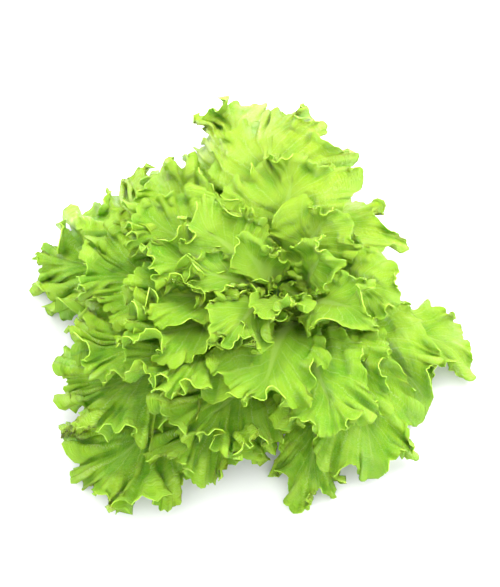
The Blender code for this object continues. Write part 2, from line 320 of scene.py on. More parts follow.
# The tiny leaves as dictionaries of the same kind
def listBuds():
    buds = []
    for number, row in enumerate(budLeaves["rows"]):
        buds.append({
            "name": f"bud_leaf_{number + 1:02d}",
            "seed": budLeaves["seed"] + number,
            "bearing": math.radians(row[0]),
            "length": row[1],
            "width": row[2],
            "baseRise": math.radians(row[3]),
            "tipRise": math.radians(row[4]),
            "petiole": budLeaves["petiole"],
            "rib": budLeaves["rib"],
            "inward": 1.0,
            **dict.fromkeys(("arch", "droop", "bend", "roll"), 0.0),
        })
    return buds


# Distance from the origin to the stem's surface: an ellipse in the upright plane
def stemReach(rise):
    return 1 / np.sqrt((np.cos(rise) / stem["radius"]) ** 2 + (np.sin(rise) / stem["height"]) ** 2)


# The margin: half width grows by a smooth step to the widest place, then closes as a rounded power curve
def marginOf(leaf):
    widest = blade["widestAt"]
    rising = np.linspace(0, widest, blade["outlineSteps"])
    rounding = np.sin(np.linspace(0, math.pi / 2, blade["outlineSteps"]))[1:]
    along = np.concatenate([rising, widest + (1 - widest) * rounding])
    opened = smoothStep(blade["petioleShare"], widest, along) ** blade["wideningPower"]
    growing = leaf["petiole"] + (leaf["width"] / 2 - leaf["petiole"]) * opened
    past = np.clip((along - widest) / (1 - widest), 0, 1)
    across = growing * np.sqrt(np.clip(1 - past ** blade["tipPower"], 0, 1))
    along = np.concatenate([along, along[-2::-1]])
    across = np.concatenate([-across, across[-2::-1]])
    steps = np.hypot(np.diff(along) * leaf["length"], np.diff(across))
    return np.concatenate([[0], np.cumsum(steps)]), along, across


# An even number of wide frills round the margin
def frillCount(leaf):
    return 2 * round(marginOf(leaf)[0][-1] / waves["frillWave"] / 2)


# Directions at each place of a sheet: along the margin, outwards in the blade, and up from it, from
# gradients eased by running means
def sheetFrames(middle, up):
    alongMargin = np.gradient(middle, axis=0)
    outwards = np.gradient(middle, axis=1)
    for _ in range(ruffle["frameEasing"]):
        for field in (alongMargin, outwards):
            field[1:-1] = (field[:-2] + 2 * field[1:-1] + field[2:]) / 4
    alongMargin = unit(alongMargin)
    facing = unit(np.cross(alongMargin, outwards))
    facing = facing * np.where((facing * up).sum(-1, keepdims=True) < 0, -1, 1)
    outwards = outwards - alongMargin * (outwards * alongMargin).sum(-1, keepdims=True)
    return alongMargin, unit(outwards), facing


# Vectors over their lengths; one of no length stays as it is
def unit(vectors):
    return vectors / np.maximum(np.linalg.norm(vectors, axis=-1, keepdims=True), tiny)


# How near a leaf is to a bearing: exp(-x^4), with x the angle between them over the spread
def nearness(leaf, bearing, spread):
    return math.exp(-((np.angle(np.exp(1j * (leaf["bearing"] - bearing))) / spread) ** 4))


# How strong the small frills are: a smooth step from 0 at the foot, times how calm or busy the leaf's side
# is, less for inner leaves. Also how near the leaf is to the calm side.
def frillCalm(leaf, u):
    calm = smoothStep(*ruffle["endsCalm"], 1 - np.abs(2 * u - 1))
    calmSide = nearness(leaf, ruffle["calmBearing"], ruffle["calmSpread"])
    calm = calm * (1 + (ruffle["calmest"] - 1) * calmSide)
    busy = (1 - leaf["inward"]) * nearness(leaf, ruffle["busyBearing"], ruffle["busySpread"])
    return calm * (1 - ruffle["inwardCalm"] * leaf["inward"] + (ruffle["busiest"] - 1) * busy), calmSide


# Phase and strength of one size of small frill round the margin. Two sines make each uneven, and a tanh
# limits the strength softly.
def frillRun(u, count, calm, turn):
    around = 2 * math.pi * u
    own = count * around
    (slow, slowCount), (quick, quickShare) = ruffle["phaseWaves"]
    phase = own + slow * np.sin(slowCount * around + turn[0])
    phase = phase + quick * np.sin(quickShare * own + turn[1]) + turn[2]
    (slow, slowCount), (quick, quickShare) = ruffle["strengthWaves"]
    strength = ruffle["strength"] + slow * np.sin(slowCount * around + turn[3])
    strength = calm * (strength + quick * np.sin(quickShare * own + turn[4]))
    return phase, ruffle["most"] * np.tanh(strength / ruffle["most"])


# Small frills laid over one another. Each is a corkscrew about the margin: up by a sine and outwards by a
# cosine, swollen sideways, with rounded lobes between notches. It grows from the rib as a power of r and
# rides on the wider frills before it. The crest, kept for the colours, is how far up them a place lies.
def ruffled(leaf, u, r, middle, up):
    draw = np.random.default_rng(ruffle["seed"] + leaf["seed"])
    run = marginOf(leaf)[0][-1]
    calm, calmSide = frillCalm(leaf, u)
    widest = ruffle["octaves"][0][1]
    notch, notchTurns = ruffle["lobeWander"]
    crest = 0.0
    for wave, height, power, lean, swell, cut in ruffle["octaves"]:
        turn = draw.uniform(0, 2 * math.pi, 6)
        phase, strength = frillRun(u, run / wave, calm, turn)
        near = r ** (power + ruffle["calmPower"] * calmSide) * strength
        crest = crest + height / widest * r ** ruffle["crestPower"] * strength * np.sin(phase)
        standing = ruffle["standing"] * (1 - ruffle["inwardStanding"] * leaf["inward"])
        standing = standing + ruffle["propped"] * np.exp(-middle[..., 2] / ruffle["proppedBelow"])
        rise = height * near * (np.sin(phase) + standing)
        lobes = np.abs(np.sin(phase + notch * np.sin(turn[5] + notchTurns * u))) ** ruffle["lobePower"]
        lobes = cut * calm * smoothStep(ruffle["lobedFrom"], 1, r) * (lobes - ruffle["lobeMean"])
        outward = height * lean * near * np.cos(phase) + lobes
        sideways = -swell * wave * np.minimum(near, 1) * np.sin(2 * phase) / (4 * math.pi)
        alongMargin, outwards, facing = sheetFrames(middle, up)
        middle = middle + rise[..., None] * facing + outward[..., None] * outwards
        middle = middle + sideways[..., None] * alongMargin
    return middle, crest


# Puckers: the blade swells up between the side veins, wanders a little, and has blisters, which are three
# cosines at 60 degrees to one another over a place that is itself pushed about by sines
def puckers(leaf, u, r, across, along):
    turn = np.random.default_rng(relief["seed"] + leaf["seed"]).uniform(0, 2 * math.pi, 8)
    veins = np.abs(np.sin(2 * math.pi * relief["veinsPerHalf"] * u + relief["veinLean"] * r))
    veins = veins ** relief["veinPower"] - relief["veinMean"]
    x = across / relief["wanderSize"]
    y = along * leaf["length"] / relief["wanderSize"]
    wander = 0.0
    for number, (share, one, two) in enumerate(relief["wanderRows"]):
        first = np.sin(one[0] * x + one[1] * y + turn[2 * number])
        wander = wander + share * first * np.sin(two[0] * x + two[1] * y + turn[2 * number + 1])
    x = x + sum(push * np.sin(rate * y + t) for (push, rate), t in zip(relief["pushAcross"], turn[4:6]))
    y = y + sum(push * np.sin(rate * x + t) for (push, rate), t in zip(relief["pushAlong"], turn[6:8]))
    around = 2 * math.pi * relief["wanderSize"] / relief["blisterSize"]
    blisters = 0.0
    for k in range(3):
        angle = relief["blisterTurn"] + k * math.pi / 3
        blisters = blisters + np.cos(around * (x * math.cos(angle) + y * math.sin(angle)) + turn[k]) / 3
    inside = smoothStep(*relief["growsAt"], r) * (1 - smoothStep(*relief["fadesAt"], r))
    return inside * (relief["pucker"] * veins + relief["wander"] * wander + relief["blister"] * blisters)


# A sum of sines along the margin: each has a height, a count of waves round the margin, and a turn
def uneven(rows, u, turns):
    around = 2 * math.pi * u
    return sum(height * np.sin(count * around + turn) for (height, count), turn in zip(rows, turns))


# How far each place is along and across the leaf: the margin's place, swollen sideways at the wide frills'
# crests and cut into lobes, drawn in to the rib by a power of r
def sheetPlace(leaf, u, r, waved, frillTurn, broadTurn, turn):
    run, marginAlong, marginAcross = marginOf(leaf)
    swell = waves["frillSwell"] * waved * r ** waves["swellPower"] * np.sin(2 * frillTurn)
    swell = swell / (4 * math.pi * frillCount(leaf))
    wander = np.sin(math.pi * u) * uneven(waves["wander"], u, turn[1:3]) * r
    place = np.clip(u + wander - swell, 0, 1) * run[-1]
    edgeAlong = np.interp(place, run, marginAlong)
    edgeAcross = np.interp(place, run, marginAcross)
    lobes = np.cos(frillTurn + waves["lobeTurn"])
    lobes = lobes + waves["broadLobe"] * np.sin(waves["broadLobeCount"] * broadTurn)
    lobes = waves["lobeDepth"] * waved * lobes * smoothStep(waves["lobedFrom"], 1, r)
    out = r ** waves["fanPower"] * (1 + lobes)
    ribAlong = blade["ribShare"] * (1 - np.abs(2 * u - 1))
    return ribAlong + (edgeAlong - ribAlong) * out, edgeAcross * out


# One leaf as it would lie alone. u runs along the margin and r from the rib to the margin. The rise goes
# from foot to tip by a smooth step, with a sine for the arch, the waves, a roll across and a droop.
def leafSheet(leaf, u, r):
    turn = np.random.default_rng(head["seed"] + leaf["seed"]).uniform(0, 2 * math.pi, 6)
    waved = smoothStep(0, waves["calmBase"], 1 - np.abs(2 * u - 1))
    frillTurn = 2 * math.pi * frillCount(leaf) * u
    broadTurn = 2 * math.pi * waves["broadCount"] * u + turn[0]
    along, across = sheetPlace(leaf, u, r, waved, frillTurn, broadTurn, turn)
    distance = stemReach(leaf["baseRise"]) + stem["clearance"] + along * leaf["length"]
    grown = smoothStep(0.0, 1.0, along)
    rise = between((leaf["baseRise"], leaf["tipRise"]), grown)
    rise = rise + leaf["arch"] * np.sin(math.pi * np.clip(along, 0, 1)) ** hang["archPower"]
    slow, quick = waves["strengthWaves"]
    strength = waves["strength"] + np.sin(math.pi * u) * uneven([slow], u, turn[3:])
    strength = strength + uneven([quick], u, turn[4:])
    broad = waves["broadHeight"] * leaf["width"] * r ** waves["broadPower"] * np.sin(broadTurn)
    frill = waves["frillHeight"] * strength * r ** waves["frillPower"] * np.sin(frillTurn)
    droop = leaf["droop"] * r ** hang["droopPower"] * smoothStep(*hang["droopAlong"], along)
    rolled = leaf["roll"] * across * smoothStep(*hang["rollAlong"], along)
    bent = waved * (broad + frill) + rolled - droop
    rise = rise + bent / np.maximum(distance, waves["fullWaveAt"])
    ribWidth = blade["ribHalfWidth"] * (blade["ribTip"] + 1 - np.clip(along, 0, 1))
    rib = np.exp(-((across / ribWidth) ** 2)) * (1 - smoothStep(*blade["ribAlong"], along))
    return {"distance": distance, "across": across, "along": along, "bend": leaf["bend"] * grown,
            "rise": rise, "rib": rib}


# The bearing of each place: its distance across, taken round the head at its rise and softly limited
def wrapped(leaf, sheet, rise):
    reach = sheet["distance"] * np.cos(np.clip(rise, 0, blade["steepest"]))
    reach = np.maximum(reach, blade["leastReach"])
    limit = blade["wrapLimit"]
    return leaf["bearing"] + sheet["bend"] + limit * np.tanh(sheet["across"] / reach / limit)


# Head coordinates as x, y and z, turned with the rise and leaned by a power of the height
def placed(distance, bearing, rise):
    turned = bearing + head["twist"] * rise
    height = distance * np.sin(rise)
    out = distance * np.cos(rise)
    lean = (np.maximum(height, 0) / head["leanHeight"]) ** head["leanPower"]
    x = out * np.cos(turned) + head["lean"][0] * lean
    y = out * np.sin(turned) + head["lean"][1] * lean
    return np.stack([x, y, height], -1)


# And back again
def unplaced(points):
    height = points[..., 2]
    lean = (np.maximum(height, 0) / head["leanHeight"]) ** head["leanPower"]
    x = points[..., 0] - head["lean"][0] * lean
    y = points[..., 1] - head["lean"][1] * lean
    out = np.hypot(x, y)
    rise = np.arctan2(height, out)
    return np.hypot(out, height), np.arctan2(y, x) - head["twist"] * rise, rise


# Point numbers of a sheet whose halves share the rib
def sheetIndex(columns, rows):
    index = np.arange((columns + 1) * rows).reshape(columns + 1, rows)
    half = columns // 2
    index[half + 1:, 0] = index[columns - np.arange(half + 1, columns + 1), 0]
    return index


# Triangles of the fine sheet. The rows near the rib use every second column; one row of three triangles to
# a cell joins them to the rows near the margin, which use every column.
def fineFaces(index, innerRows):
    inner = index[::2, :innerRows]
    outer = index[:, innerRows:]
    near, far = inner[:-1, -1], inner[1:, -1]
    start, middle, end = outer[:-1:2, 0], outer[1::2, 0], outer[2::2, 0]
    join = [(near, far, middle), (far, end, middle), (near, middle, start)]
    faces = [np.stack(corners, -1) for corners in join]
    for grid in (inner, outer):
        a, b = grid[:-1, :-1], grid[1:, :-1]
        c, d = grid[1:, 1:], grid[:-1, 1:]
        faces = faces + [np.stack([a, b, c], -1).reshape(-1, 3), np.stack([a, c, d], -1).reshape(-1, 3)]
    faces = np.concatenate(faces)
    apart = (faces[:, 0] != faces[:, 1]) & (faces[:, 1] != faces[:, 2]) & (faces[:, 0] != faces[:, 2])
    return faces[apart]


# Triangles of the solids' coarse sheet
def coarseFaces(index):
    columns = len(index) - 1
    a, b = index[:-1, :-1], index[1:, :-1]
    c, d = index[1:, 1:], index[:-1, 1:]
    first = (np.arange(columns) < columns // 2)[:, None, None]
    one = np.where(first, np.stack([a, b, d], -1), np.stack([a, b, c], -1))
    two = np.where(first, np.stack([b, c, d], -1), np.stack([a, c, d], -1))
    return np.concatenate([one.reshape(-1, 3), two.reshape(-1, 3)])


# The sum of the facings of the triangles round each point, brought to length 1
def pointNormals(points, faces):
    edgeOne = points[faces[:, 1]] - points[faces[:, 0]]
    edgeTwo = points[faces[:, -1]] - points[faces[:, 0]]
    facing = np.cross(edgeOne, edgeTwo)
    normals = np.zeros_like(points)
    for corner in range(faces.shape[1]):
        np.add.at(normals, faces[:, corner], facing)
    return unit(normals)


# A sheet given thickness: its points moved half of it to either side, and the run of its rim
def thickened(index, points, faces, thickness):
    half = pointNormals(points, faces) * thickness[:, None] / 2
    rim = np.concatenate([index[0], index[1:, -1], index[-1, -2:0:-1]])
    following = np.roll(rim, -1)
    count = len(points)
    return np.concatenate([points + half, points - half]), rim, following, count


# Both faces of that sheet and the rim between them
def solidTriangles(faces, rim, following, count):
    sideOne = np.stack([rim, following, following + count], 1)
    sideTwo = np.stack([rim, following + count, rim + count], 1)
    return np.concatenate([faces, faces[:, ::-1] + count, sideOne, sideTwo])


# Each bin as tall as the tallest of those around it
def widened(bins):
    tallest = bins.copy()
    tallest[1:] = np.maximum(tallest[1:], bins[:-1])
    tallest[:-1] = np.maximum(tallest[:-1], bins[1:])
    return np.maximum(tallest, np.maximum(np.roll(tallest, 1, 1), np.roll(tallest, -1, 1)))


# The leaves already laid, as the highest rise in bins of distance and bearing
class Pile:
    def __init__(self):
        self.bearings = round(2 * math.pi / laying["bearingBin"])
        self.top = np.zeros((round(laying["furthest"] / laying["distanceBin"]), self.bearings))
        side = laying["samplesPerSide"]
        spots = [(i, j, side - i - j) for i in range(side + 1) for j in range(side + 1 - i)]
        self.weights = np.array(spots, float) / side

    # The bin of each place
    def bins(self, distance, bearing):
        row = np.clip((distance / laying["distanceBin"]).astype(int), 0, len(self.top) - 1)
        return row, np.floor(bearing / laying["bearingBin"]).astype(int) % self.bearings

    # Places spread evenly over each triangle
    def samples(self, points, faces):
        spread = np.einsum("sk,fkc->fsc", self.weights, points[faces])
        distance, bearing, rise = unplaced(spread)
        return distance, rise, *self.bins(distance, bearing)

    # How much more rise each point needs: the most that any place on its triangles is short of the pile
    def lack(self, points, faces):
        distance, rise, row, column = self.samples(points, faces)
        needed = widened(self.top)[row, column] + blade["gap"] / distance
        short = np.maximum(needed - rise, 0).max(1)
        raiseBy = np.zeros(len(points))
        np.maximum.at(raiseBy, faces.ravel(), np.repeat(short, 3))
        return raiseBy

    # The bins raised to the leaf
    def add(self, points, faces):
        _, rise, row, column = self.samples(points, faces)
        np.maximum.at(self.top, (row.ravel(), column.ravel()), rise.ravel())


# A raise spread over half a frill wave, so that a raised margin keeps its waves
def eased(raiseBy):
    least = raiseBy
    for _ in range(waves["columnsPerFrill"] // 2):
        padded = np.pad(raiseBy, ((1, 1), (0, 0)), mode="edge")
        raiseBy = np.maximum(raiseBy, laying["easingShare"] * np.maximum(padded[:-2], padded[2:]))
    for _ in range(laying["easingRounds"]):
        padded = np.pad(raiseBy, 1, mode="edge")
        around = (padded[:-2, 1:-1] + padded[2:, 1:-1] + padded[1:-1, :-2] + padded[1:-1, 2:]) / 4
        raiseBy = np.maximum(least, around)
        raiseBy[:, 0] = np.maximum(raiseBy[:, 0], raiseBy[::-1, 0])
    return raiseBy


# How far the leaf is lifted by the leaves below it, and the lift that its width was fitted at
def layCoarse(leaf, pile):
    columns = waves["columnsPerFrill"] * frillCount(leaf)
    u = np.linspace(0, 1, columns + 1)[:, None]
    r = np.array(blade["solidRows"])[None, :]
    sheet = leafSheet(leaf, u, r)
    rise = sheet["rise"]
    thickness = blade["solidThickness"] + (leaf["rib"] - blade["solidThickness"]) * sheet["rib"]
    index = sheetIndex(columns, r.size)
    faces = coarseFaces(index)
    raiseBy = np.zeros_like(rise)
    for turn in range(laying["rounds"]):
        if turn < laying["fittingRounds"]:
            fitted = raiseBy
            bearing = wrapped(leaf, sheet, rise + fitted)
        fromStem = stemReach(rise + raiseBy + stem["margin"]) + stem["clearance"] + thickness / 2
        middle = placed(np.maximum(sheet["distance"], fromStem), bearing, rise + raiseBy)
        flat = middle.reshape(-1, 3)
        points, rim, following, count = thickened(index, flat, faces, thickness.reshape(-1))
        triangles = solidTriangles(faces, rim, following, count)
        if turn < laying["rounds"] - 1:
            lack = pile.lack(points, triangles)
            raiseBy = raiseBy + eased(np.maximum(lack[:count], lack[count:]).reshape(rise.shape))
    pile.add(points, triangles)
    return u[:, 0], raiseBy, fitted


# A coarse field read at the fine columns and rows, then softened by running means
def finer(field, coarseU, u, r, columnsPerCoarse):
    alongMargin = np.stack([np.interp(u, coarseU, field[:, row]) for row in range(field.shape[1])], 1)
    fine = np.stack([np.interp(r, blade["solidRows"], line) for line in alongMargin])
    width = max(3, int(columnsPerCoarse * laying["softWidth"]) | 1)
    evenly = np.ones(width) / width
    for _ in range(laying["softRounds"]):
        padded = np.pad(fine, ((width // 2, width // 2), (0, 0)), mode="edge")
        fine = np.stack([np.convolve(padded[:, row], evenly, "valid") for row in range(r.size)], 1)
        padded = np.pad(fine, ((0, 0), (1, 1)), mode="edge")
        fine = (padded[:, :-2] + padded[:, 1:-1] + padded[:, 2:]) / 3
        fine[:, 0] = (fine[:, 0] + fine[::-1, 0]) / 2
    return fine


# A mesh from arrays, shaded smooth, with one vector attribute for each named entry
def newPiece(name, points, faces, attributes, material):
    mesh = bpy.data.meshes.new(name)
    mesh.vertices.add(len(points))
    mesh.vertices.foreach_set("co", points.astype(np.float32).ravel())
    mesh.loops.add(faces.size)
    mesh.loops.foreach_set("vertex_index", faces.astype(np.int32).ravel())
    mesh.polygons.add(len(faces))
    mesh.polygons.foreach_set("loop_start", np.arange(0, faces.size, 3, dtype=np.int32))
    mesh.update(calc_edges=True)
    mesh.shade_smooth()
    for label, values in attributes.items():
        layer = mesh.attributes.new(label, "FLOAT_VECTOR", "POINT")
        layer.data.foreach_set("vector", values.astype(np.float32).ravel())
    mesh.materials.append(material)
    piece = bpy.data.objects.new(name, mesh)
    bpy.context.scene.collection.objects.link(piece)
    return piece


# The fine sheet's columns and rows, its lift, and the lift that its width was fitted at
def fineGrid(leaf, laid):
    coarseU, raiseBy, fitted = laid
    step = blade["columnStep"] * 1
    columns = 4 * round(marginOf(leaf)[0][-1] / step / 4)
    u = np.linspace(0, 1, columns + 1)
    r = np.linspace(0, 1, blade["rows"]) ** blade["rowPower"]
    perCoarse = columns / (len(coarseU) - 1)
    lifted = finer(raiseBy, coarseU, u, r, perCoarse)
    return u[:, None], r[None, :], lifted, finer(fitted, coarseU, u, r, perCoarse)


# The middle of the fine blade: the solid's form with puckers and small frills, lifted as the solid is, with
# its thickness and how far each place is on a crest
def fineMiddle(leaf, sheet, u, r, lifted, fittedAt):
    lift = puckers(leaf, u, r, sheet["across"], sheet["along"])
    rise = sheet["rise"] + lifted + lift / sheet["distance"]
    thickness = blade["thickness"] + (leaf["rib"] - blade["thickness"]) * sheet["rib"]
    fromStem = stemReach(sheet["rise"] + lifted + stem["margin"]) + stem["clearance"] + thickness / 2
    distance = np.maximum(sheet["distance"], fromStem)
    bearing = wrapped(leaf, sheet, sheet["rise"] + fittedAt)
    middle = placed(distance, bearing, rise)
    up = placed(distance, bearing, rise + ruffle["frameRise"]) - middle
    middle, crest = ruffled(leaf, u, r, middle, up)
    middle[..., 2] = np.maximum(middle[..., 2], blade["thickness"])
    return middle, thickness, crest + lift / relief["crestLift"]


# A fine leaf as a closed piece, with its places for the finish
def growLeaf(leaf, laid, material):
    u, r, lifted, fittedAt = fineGrid(leaf, laid)
    sheet = leafSheet(leaf, u, r)
    middle, thickness, crest = fineMiddle(leaf, sheet, u, r, lifted, fittedAt)
    index = sheetIndex(u.size - 1, r.size)
    faces = fineFaces(index, blade["innerRows"])
    points, rim, following, count = thickened(index, middle.reshape(-1, 3), faces, thickness.reshape(-1))
    used, renumbered = np.unique(solidTriangles(faces, rim, following, count), return_inverse=True)
    one = np.ones_like(crest)
    places = {
        "leafPlace": (sheet["across"], sheet["along"] * leaf["length"], r * one),
        "leafFan": (u * one, leaf["inward"] * one, sheet["along"]),
        "leafCurl": (crest, one, one),
    }
    attributes = {}
    for label, values in places.items():
        oneFace = np.stack(values, -1).reshape(-1, 3)
        attributes[label] = np.concatenate([oneFace, oneFace])[used]
    piece = newPiece(leaf["name"] + "_grown", points[used], renumbered.reshape(-1, 3), attributes, material)
    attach(piece, "root")
    return piece


print("stage: materials")


# Short ways to add and join shader nodes
class NodeKit:
    def __init__(self, name):
        self.material = bpy.data.materials.new(name)
        self.material.use_nodes = True
        self.tree = self.material.node_tree
        self.shader = self.tree.nodes["Principled BSDF"]

    # A node with its settings, then its sockets
    def add(self, kind, sockets=None, **settings):
        node = self.tree.nodes.new(kind)
        for key, value in settings.items():
            setattr(node, key, value)
        for key, value in (sockets or {}).items():
            self.fill(node.inputs[key], value)
        return node

    # A number or a colour on a socket, or a link to it
    def fill(self, socket, value):
        if isinstance(value, tuple):
            socket.default_value = (*value, 1)
        elif isinstance(value, (int, float)):
            socket.default_value = value
        else:
            self.join(value, socket)

    def join(self, source, target):
        self.tree.links.new(source, target)

    def read(self, name):
        return self.add("ShaderNodeAttribute", attribute_name=name).outputs["Vector"]

    def split(self, vector):
        return self.add("ShaderNodeSeparateXYZ", {0: vector}).outputs

    def math(self, operation, one, two=0.0):
        return self.add("ShaderNodeMath", {0: one, 1: two}, operation=operation).outputs[0]

    # A smooth step of the value from low to high, taken to two other numbers
    def ramp(self, value, low, high, toLow=0.0, toHigh=1.0):
        sockets = {"Value": value, "From Min": low, "From Max": high, "To Min": toLow, "To Max": toHigh}
        return self.add("ShaderNodeMapRange", sockets, interpolation_type="SMOOTHSTEP").outputs[0]

    def mix(self, factor, one, two):
        return self.add("ShaderNodeMix", {0: factor, 6: one, 7: two}, data_type="RGBA").outputs[2]

    def noise(self, vector, scale, detail=2.0):
        sockets = {"Vector": vector, "Scale": scale, "Detail": detail}
        return self.add("ShaderNodeTexNoise", sockets).outputs["Fac"]

    def cells(self, vector, scale):
        sockets = {"Vector": vector, "Scale": scale}
        return self.add("ShaderNodeTexVoronoi", sockets, feature="DISTANCE_TO_EDGE").outputs["Distance"]

    def bump(self, height, strength, distance):
        sockets = {"Height": height, "Strength": strength, "Distance": distance}
        self.join(self.add("ShaderNodeBump", sockets).outputs[0], self.shader.inputs["Normal"])


# A ramp is the two values it runs between and what they become; a scale is followed by the detail
leafLook = {
    "blade": (0.290, 0.690, 0.006),
    # painted shade in the hollows near the rib and in the troughs; the same green also serves for broad
    # random mottling
    "shadeAndMottleGreen": (0.090, 0.450, 0.003),
    "margin": (0.500, 0.830, 0.050),
    "vein": (0.640, 0.870, 0.220),
    "streak": (0.455, 0.745, 0.030),
    "ribPale": (0.520, 0.800, 0.130),
    "foot": (0.260, 0.640, 0.040),
    "heart": (0.330, 0.640, 0.030),
    "paintedLitSide": (0.505, 0.695, 0.034),  # painted light: the side of the head towards the lamps is painted lighter
    "paintedLightFrom": (0.45, 0.85, 0.0),
    "heartShare": 0.8,
    "quiltLightShare": 0.55,
    "sideWander": 1.6,  # radians by which noise moves the side veins
    "branches": 3.0,  # to each side vein
    "fan": (46.0, 3.0),  # of the streaks, along the margin and out to it
    "scales": {
        "broad": (28.0,),
        "mottle": (160.0, 3.0),
        "streak": (1.6, 3.0),
        "sideWander": (60.0,),
        "grain": (520.0, 2.0),
        "net": (150.0,),
        "netFine": (420.0,),
    },
    "ramps": {
        "hollowShade": (0.25, 0.90, 0.85, 0.0),  # from rib to margin: painted shade, deep green near the rib giving way to the blade's
        "broad": (0.40, 0.70, 0.0, 0.60),
        "mottle": (0.44, 0.58, 0.0, 0.50),
        "streak": (0.40, 0.66, 0.0, 0.45),
        "paintedLitSide": (-0.06, 0.10, 0.0, 0.75),
        # painted shade in the troughs of the frills and puckers, and painted highlight on their crests
        "troughShade": (-1.0, 0.1, 0.58, 0.0),
        "crest": (0.1, 1.2, 0.0, 0.60),
        "side": (0.0, 0.16, 0.75, 0.0),
        "sideAway": (0.60, 1.0, 1.0, 0.0),
        "branch": (0.0, 0.35, 0.40, 0.0),
        "branchFrom": (0.10, 0.55, 0.0, 1.0),
        "net": (0.0, 0.07, 0.30, 0.0),
        "netFine": (0.0, 0.10, 0.25, 0.0),
        "quilt": (0.0, 0.42, 0.0, 1.0),
        "ribWidth": (0.0, 0.85, 0.0055, 0.0007),
        "rib": (0.5, 1.6, 0.75, 0.0),
        "ribAway": (0.70, 0.92, 1.0, 0.0),
        "foot": (0.02, 0.34, 0.60, 0.0),
        "rimSoft": (0.80, 1.0, 0.0, 0.42),
        # a thin line at the very edge, partly the leaf's own paler edge and partly a painted rim highlight
        "rimLineAndHighlight": (0.970, 0.998, 0.0, 0.70),
    },
    "heights": {"mottle": 1.2, "grain": 0.35, "streak": 0.8, "quilt": 1.10, "veins": -0.50},
    "bump": 1.0,
    "bumpDepth": 0.0030,
    "roughness": 0.24,
    "shine": 0.55,
    "subsurface": 0.42,
    "glow": (0.7, 1.2, 0.2),
    "glowDepth": 0.0010,
}


# Where a point of the blade is: across and along the leaf, out to the margin, and how far up a crest
def leafPlaces(kit):
    place = kit.read("leafPlace")
    across, _, toMargin = kit.split(place)
    u, inward, along = kit.split(kit.read("leafFan"))
    at = {"place": place, "across": across, "toMargin": toMargin, "u": u, "inward": inward, "along": along}
    at["crest"] = kit.split(kit.read("leafCurl"))[0]
    at["object"] = kit.add("ShaderNodeTexCoord").outputs["Object"]
    return at


# Side veins lie where the sine of a turn that grows along the margin is near 0, with branches where that of
# three times the turn is, and two nets lie at the edges of cells. The strongest of them shows.
def leafVeins(kit, at, net):
    look, ramps = leafLook, leafLook["ramps"]
    turn = kit.math("MULTIPLY", at["u"], 2 * math.pi * relief["veinsPerHalf"])
    turn = kit.math("ADD", turn, kit.math("MULTIPLY", at["toMargin"], relief["veinLean"]))
    wander = kit.noise(at["place"], *look["scales"]["sideWander"])
    turn = kit.math("ADD", turn, kit.math("MULTIPLY", wander, look["sideWander"]))
    side = kit.ramp(kit.math("ABSOLUTE", kit.math("SINE", turn)), *ramps["side"])
    side = kit.math("MULTIPLY", side, kit.ramp(at["toMargin"], *ramps["sideAway"]))
    branch = kit.math("SINE", kit.math("MULTIPLY", turn, look["branches"]))
    branch = kit.ramp(kit.math("ABSOLUTE", branch), *ramps["branch"])
    branch = kit.math("MULTIPLY", branch, kit.ramp(at["toMargin"], *ramps["branchFrom"]))
    netFine = kit.ramp(kit.cells(at["place"], *look["scales"]["netFine"]), *ramps["netFine"])
    veins = kit.math("MAXIMUM", side, kit.ramp(net, *ramps["net"]))
    return kit.math("MAXIMUM", kit.math("MAXIMUM", veins, netFine), branch)


# The marks that both colour and relief are made of: noises, streaks over the fan of the sheet, veins, and
# the quilt of swellings between the meshes of the net
def leafMarks(kit, at):
    scales = leafLook["scales"]
    fan = kit.add("ShaderNodeCombineXYZ")
    for number, key in enumerate(("u", "toMargin")):
        kit.join(kit.math("MULTIPLY", at[key], leafLook["fan"][number]), fan.inputs[number])
    net = kit.cells(at["place"], *scales["net"])
    return {
        "mottle": kit.noise(at["place"], *scales["mottle"]),
        "grain": kit.noise(at["place"], *scales["grain"]),
        "streak": kit.noise(fan.outputs[0], *scales["streak"]),
        "quilt": kit.ramp(net, *leafLook["ramps"]["quilt"]),
        "veins": leafVeins(kit, at, net),
    }


